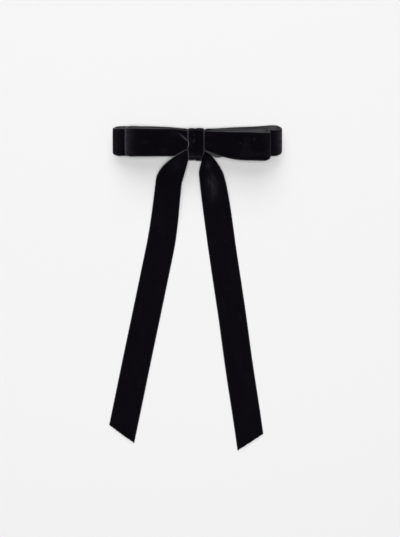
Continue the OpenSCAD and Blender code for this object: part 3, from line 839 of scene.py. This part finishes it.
def wrap_path(turn, rows):
    """Middle line of one turn in YZ: it starts under the plate, goes round by -Y, over the face
    and back by +Y, and laps under its own start."""
    h = WRAP_T / 2
    (y0, z0), (y1, z1) = turn
    y0, z0, y1, z1 = y0 - h, z0 - h, y1 + h, z1 + h
    r = WRAP_CORNER_R + h
    corners = (((y0 + r, z0 + r), 270, 180), ((y0 + r, z1 - r), 180, 90),
               ((y1 - r, z1 - r), 90, 0), ((y1 - r, z0 + r), 0, -90))
    points = [(5.2, z0)]
    for (cy, cz), start, end in corners:
        for a in np.radians(np.linspace(start, end, 16)):
            points.append((cy + r * math.cos(a), cz + r * math.sin(a)))
    lap_z = z0 - WRAP_T - 0.02
    points += [(7.6, z0 - 0.25), (5.8, lap_z), (-4.5, lap_z)]
    path, at = resample(points, 0.4)
    path = blur(path, 1.2)
    steps = np.linspace(0, at[-1], rows)
    return np.column_stack([np.interp(steps, at, column) for column in path.T]), at[-1]


def knot_object():
    """The tape of the knot: two pleats side by side, with a crease between them."""
    left, length = wrap_path(LEFT_TURN, KNOT_ROWS)
    right = wrap_path(RIGHT_TURN, KNOT_ROWS)[0]
    across = across_samples(KNOT_HALF, KNOT_STEP)
    x = np.broadcast_to(across, (KNOT_ROWS, len(across)))
    share = smoothstep((x - SPLIT_X + 0.22) / 0.44)
    y, z = (mix(left[:, None, k], right[:, None, k], share) for k in (0, 1))
    top = smoothstep((z - 15) / 2.5)

    # The lower right corner is drawn in where the right tail leaves, and the left edge is wavy
    drawn = 1 - 0.37 * smoothstep((-5.6 - y) / 7.5) * smoothstep((z - 9) / 3.5)
    right_scale = (KNOT_RIGHT - SPLIT_X) / (KNOT_HALF - SPLIT_X) * drawn
    left_scale = (KNOT_LEFT - SPLIT_X) / (-KNOT_HALF - SPLIT_X)
    waviness = 0.36 * bell(y, 0.4, 2.2) + 0.45 * smoothstep((-4 - y) / 7)
    lean = smoothstep((-x - 2.5) / 4) * waviness * top
    x_out = SPLIT_X + (x - SPLIT_X) * np.where(x > SPLIT_X, right_scale, left_scale) + lean
    x_out = x_out + 0.12 * noise2(y + z, x * 0, 4.0, 5) * smoothstep((np.abs(x) - 3) / 3)
    grid = np.stack([x_out, y, z], axis=-1)
    middle = (0, 0, (knot_low[2] + knot_high[2]) / 2)
    i, k = KNOT_ROWS // 2, len(across) // 2
    normal = surface_normals(grid)
    normal = normal * math.copysign(1, float(np.dot(normal[i, k], grid[i, k] - np.array(middle))))
    relief = 0
    for centre, (rise, wide) in ((-(KNOT_HALF - SPLIT_X) / 2, LEFT_RIDGE),
                                 ((KNOT_HALF + SPLIT_X) / 2, RIGHT_RIDGE)):
        relief = relief + rise * np.clip(1 - ((x - centre) / wide) ** 2, 0, 1)
    relief = relief - 0.55 * bell(x, SPLIT_X - 0.1, 0.4) + 0.1 * noise2(y + z, x, 2.6, 9)
    for x0, y0, rise, wide, tall in PUCKERS:
        relief = relief + rise * bell(x, x0, wide) * bell(y, y0, tall) * top
    grid = grid + normal * relief[..., None]

    # Painted sheen on the left pleat, strongest on its pucker, broken into streaks
    streaks = smoothstep(noise2(y * 0.6, x, 1.1, 13) * 1.4 + 0.3)
    left_pleat_sheen = 0.09 * bell(x, -1.9, 0.8) * bell(y, 3.0, 4.5) + 0.035 * smoothstep(-x - 1)
    pile_sheen_and_paleness = left_pleat_sheen * streaks * top
    # Painted sheen where the tape rolls over its top and bottom edges
    pile_sheen_and_paleness = pile_sheen_and_paleness + (0.1 * bell(y, -9.8, 0.9) + 0.15 * bell(y, 11.4, 0.75)) * top
    # Painted highlights along the knot's selvedges, strongest on the left edge's bulge
    left_edge_highlight = 0.11 + 0.36 * bell(y[:, :1], 0.4, 2.4) * top[:, :1] + 0.06 * bell(y[:, :1], 11, 2)
    right_edge_highlight = 0.06 * smoothstep((y[:, -1:] + 10) / 4) + 0.08 * smoothstep((y[:, -1:] - 1) / 6)
    made = ribbon_object("knot_ribbon", grid, across, inside=middle, pile_sheen_and_paleness=pile_sheen_and_paleness,
                         selvedge_highlight=np.concatenate([left_edge_highlight, right_edge_highlight], axis=1), seed=101)
    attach(made, "bow")
    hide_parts("knot_wrap")


knot_object()


# ---- Felt pad ----

PLATE_TOP_Z = 10.5
ARCH_R = 138.36
ARCH_Z = PLATE_TOP_Z - ARCH_R
PAD_T = 1.2
PAD_HALF_L = 31.0
PAD_HALF_W = 5.5
PAD_CORNER = 3.0
PAD_LIFT = 0.02
STITCH_X = (-20.0, 20.0)
STITCH_HALF = 4.04


def on_arch(x, y, lift):
    """Points at this height over the plate's arched top face."""
    radius = ARCH_R + lift
    angle = x / ARCH_R
    return np.stack([radius * np.sin(angle), y, ARCH_Z + radius * np.cos(angle)], axis=-1)


def felt_object():
    """Pressed felt strip on the arched plate, soft at its edges and dimpled by its stitches."""
    along = np.linspace(-PAD_HALF_L, PAD_HALF_L, 220)
    past = np.clip(np.abs(along) - (PAD_HALF_L - PAD_CORNER), 0, PAD_CORNER)
    half = PAD_HALF_W - PAD_CORNER + np.sqrt(PAD_CORNER**2 - past**2)
    part = np.sin(np.linspace(-math.pi / 2, math.pi / 2, 40))
    x = np.broadcast_to(along[:, None], (len(along), len(part)))
    y = half[:, None] * part[None, :]
    edge = np.minimum(half[:, None] - np.abs(y), PAD_HALF_L - np.abs(x))
    soft = 0.28 * np.exp(-edge / 0.3)
    dents = sum(0.5 * bell(x, c + s * STITCH_HALF, 0.9) * bell(y, 0, 0.9)
                for c in STITCH_X for s in (-1, 1))
    grain = 0.07 * noise2(x, y, 1.1, 3) + 0.05 * noise2(x, y, 0.5, 4) + 0.06 * noise2(x, y, 5.0, 5)
    y_rough = y * (1 + 0.012 * noise2(x, y * 0, 1.4, 6))
    top = on_arch(x, y_rough, PAD_T - soft - dents + grain)
    bottom = on_arch(x, y_rough, PAD_LIFT + 0.5 * soft)
    ring = np.concatenate([top, bottom[:, ::-1]], axis=1)
    rows, around = ring.shape[:2]
    i, k = np.meshgrid(np.arange(rows - 1), np.arange(around), indexing="ij")
    m = (k + 1) % around
    faces = np.stack([i * around + k, i * around + m, (i + 1) * around + m, (i + 1) * around + k],
                     axis=-1).reshape(-1, 4).tolist()
    for base in (0, (rows - 1) * around):
        faces += [[base + c, base + c + 1, base + around - 2 - c, base + around - 1 - c]
                  for c in range(around // 2 - 1)]
    made = mesh_object("felt_strip", ring.reshape(-1, 3), faces, (FELT,))
    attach(made, "bow")
    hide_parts("felt_pad")


felt_object()


# ---- Threads ----

CORD_PLIES = 3
CORD_TWIST = 0.9
CORD_SIDES = 16

# Each thread's loop: its lowest and highest corner in its own plane, and its corner radius.
# Then the threads' own radii, and where the loops lie.
PAD_STITCH = ((-STITCH_HALF, -1.17), (STITCH_HALF, 1.5), 0.45)
GATHERING = ((-10.35, 11.9), (11.3, 18.8), 1.6)
KNOT_STITCH = ((-1.6, -0.3), (1.6, 0.28), 0.25)
PAD_STITCH_R, GATHERING_R, KNOT_STITCH_R = 0.34, 0.17, 0.24
GATHERING_X = (-4, -2, 0, 2, 4)
GATHERING_LEAN = 0.35
KNOT_STITCH_X = (-4, 0, 4)
KNOT_STITCH_Y, KNOT_STITCH_Z = -4.5, 7.4 - 0.12
KNOT_STITCH_TURN = math.radians(25)


def cord(points, radius):
    """Points and faces of a closed twisted cord along a loop of points."""
    path, at = resample(points, radius * 0.5, closed=True)
    total = at[-1] + at[1]
    tangent = unit_rows(np.roll(path, -1, axis=0) - np.roll(path, 1, axis=0))
    loop_normal = np.zeros(3)
    for p, q in zip(path, np.roll(path, -1, axis=0)):
        loop_normal += np.cross(p, q)
    sideways = loop_normal / np.linalg.norm(loop_normal)
    outwards = unit_rows(np.cross(tangent, sideways))
    around = np.linspace(0, 2 * math.pi, CORD_SIDES, endpoint=False)
    turns = max(1, round(total * CORD_TWIST / CORD_PLIES))
    phase = 2 * math.pi * turns * at[:, None] / total
    swell = radius * (0.8 + 0.2 * np.abs(np.cos(CORD_PLIES / 2 * (around[None, :] - phase))))
    cosine, sine = np.cos(around)[None, :, None], np.sin(around)[None, :, None]
    rings = path[:, None] + swell[..., None] * (cosine * outwards[:, None] + sine * sideways)
    rows, count = rings.shape[:2]
    i, k = np.meshgrid(np.arange(rows), np.arange(count), indexing="ij")
    j, m = (i + 1) % rows, (k + 1) % count
    faces = np.stack([i * count + k, i * count + m, j * count + m, j * count + k], axis=-1)
    return rings.reshape(-1, 3), faces.reshape(-1, 4)


def cords_object(name, loops, radius, replaced):
    points, faces, count = [], [], 0
    for loop in loops:
        ring, quads = cord(loop, radius)
        points.append(ring)
        faces.append(quads + count)
        count += len(ring)
    made = mesh_object(name, np.vstack(points), np.vstack(faces).tolist(), (THREAD,))
    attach(made, "bow")
    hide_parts(replaced)


def rounded_loop(low, high, radius):
    """A rectangle with round corners, as a loop of points in a plane."""
    points = []
    left, right, bottom, top = low[0] + radius, high[0] - radius, low[1] + radius, high[1] - radius
    for cx, cy, start in ((right, top, 0), (left, top, 90), (left, bottom, 180),
                          (right, bottom, 270)):
        for a in np.radians(np.linspace(start, start + 90, 9)):
            points.append((cx + radius * math.cos(a), cy + radius * math.sin(a)))
    return np.array(points)


def pad_stitch_loop(centre):
    flat = rounded_loop(*PAD_STITCH)
    return on_arch(centre + flat[:, 0], np.zeros(len(flat)), flat[:, 1])


def gathering_loop(x):
    flat = rounded_loop(*GATHERING)
    lean = GATHERING_LEAN * flat[:, 0] / 11
    return np.column_stack([x + lean, flat])


def knot_stitch_loop(x):
    flat = rounded_loop(*KNOT_STITCH)
    return np.column_stack([x - flat[:, 0] * math.sin(KNOT_STITCH_TURN),
                            KNOT_STITCH_Y + flat[:, 0] * math.cos(KNOT_STITCH_TURN),
                            KNOT_STITCH_Z + flat[:, 1]])


cords_object("pad_stitch_thread", [pad_stitch_loop(x) for x in STITCH_X], PAD_STITCH_R,
             "pad_stitches")
cords_object("gathering_cord", [gathering_loop(x) for x in GATHERING_X], GATHERING_R,
             "gathering_thread")
cords_object("knot_stitch_thread", [knot_stitch_loop(x) for x in KNOT_STITCH_X], KNOT_STITCH_R,
             "knot_stitches")


# ---- Metal parts keep their CAD shapes ----


BEVEL_ANGLE = math.radians(35)
CRISP_ANGLE = math.radians(20)


def finish_metal(part_name, material, bevel):
    """Gives a CAD part its material, and breaks its edges by this many millimetres."""
    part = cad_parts[part_name]
    part.data.materials.clear()
    part.data.materials.append(material)
    weld = part.modifiers.new("join_corners", "WELD")
    weld.merge_threshold = 1e-6
    rounding = part.modifiers.new("broken_edges", "BEVEL")
    rounding.width = bevel * MM
    rounding.segments = 2
    rounding.limit_method = "ANGLE"
    rounding.angle_limit = BEVEL_ANGLE
    part.data.polygons.foreach_set("use_smooth", np.ones(len(part.data.polygons), bool))
    creases = part.modifiers.new("crisp_edges", "EDGE_SPLIT")
    creases.split_angle = CRISP_ANGLE


for part_name in ("top_plate", "catch_block", "catch_rivet", "hinge_pin", "clasp_arm"):
    finish_metal(part_name, NICKEL, 0.12)
for part_name in ("upper_prong", "lower_prong", "tension_bar"):
    finish_metal(part_name, SPRING, 0.08)


# ---- Floor, lights and camera ----

# Places are in metres, and the sensor's height is in millimetres
FLOOR_HALF = 2.5
FLOOR_DROP = 0.05 * MM
WORLD_LIGHT = 0.1
LIGHT_AIM = (0, -0.1, 0)
CAMERA_PLACE = (2.6 * MM, -95.9 * MM, 1.0)
FIELD_OF_VIEW = math.radians(23.86)
SENSOR_HEIGHT = 24.0


def floor():
    """A pale paper sheet, clear from below so that the barrette can be inspected."""
    corners = [(x * FLOOR_HALF, y * FLOOR_HALF, 0)
               for x, y in ((-1, -1), (1, -1), (1, 1), (-1, 1))]
    mesh = bpy.data.meshes.new("floor")
    mesh.from_pydata(corners, [], [(0, 1, 2, 3)])
    made = bpy.data.objects.new("floor", mesh)
    bpy.context.scene.collection.objects.link(made)
    made.location.z = -FLOOR_DROP
    material, tree, bsdf = new_material("floor_paper")
    tooth = noise(tree, object_coordinates(tree), 900.0, 3.0)
    paper = blend_colours(tree, tooth, (0.82, 0.82, 0.822), (0.85, 0.85, 0.85))
    tree.links.new(paper, bsdf.inputs["Base Color"])
    bsdf.inputs["Roughness"].default_value = 0.9
    bsdf.inputs["Specular IOR Level"].default_value = 0.1
    clear = tree.nodes.new("ShaderNodeBsdfTransparent")
    side = tree.nodes.new("ShaderNodeNewGeometry")
    both = tree.nodes.new("ShaderNodeMixShader")
    tree.links.new(side.outputs["Backfacing"], both.inputs["Fac"])
    tree.links.new(bsdf.outputs["BSDF"], both.inputs[1])
    tree.links.new(clear.outputs["BSDF"], both.inputs[2])
    tree.links.new(both.outputs["Shader"], tree.nodes["Material Output"].inputs["Surface"])
    mesh.materials.append(material)


floor()

world = bpy.data.worlds.new("studio")
world.use_nodes = True
background = world.node_tree.nodes["Background"]
background.inputs["Color"].default_value = (1.0, 1.0, 1.0, 1)
background.inputs["Strength"].default_value = WORLD_LIGHT
bpy.context.scene.world = world


def area_light(name, place, size, watts):
    lamp = bpy.data.lights.new(name, "AREA")
    lamp.shape = "SQUARE"
    lamp.size = size
    lamp.energy = watts
    made = bpy.data.objects.new(name, lamp)
    made.location = place
    made.rotation_euler = (Vector(LIGHT_AIM) - Vector(place)).to_track_quat("-Z", "Y").to_euler()
    bpy.context.scene.collection.objects.link(made)


area_light("overhead", (0.0, -0.36, 3.2), 0.8, 70.0)
area_light("softbox", (-0.2, 2.0, 2.2), 3.0, 53.0)

camera = bpy.data.cameras.new("camera")
camera.sensor_fit = "VERTICAL"
camera.sensor_height = SENSOR_HEIGHT
camera.lens = SENSOR_HEIGHT / 2 / math.tan(FIELD_OF_VIEW / 2)
camera.clip_start = 0.01
camera.clip_end = 20
camera_object = bpy.data.objects.new("camera", camera)
camera_object.location = CAMERA_PLACE
bpy.context.scene.collection.objects.link(camera_object)
bpy.context.scene.camera = camera_object
bpy.context.scene.view_settings.view_transform = "Standard"
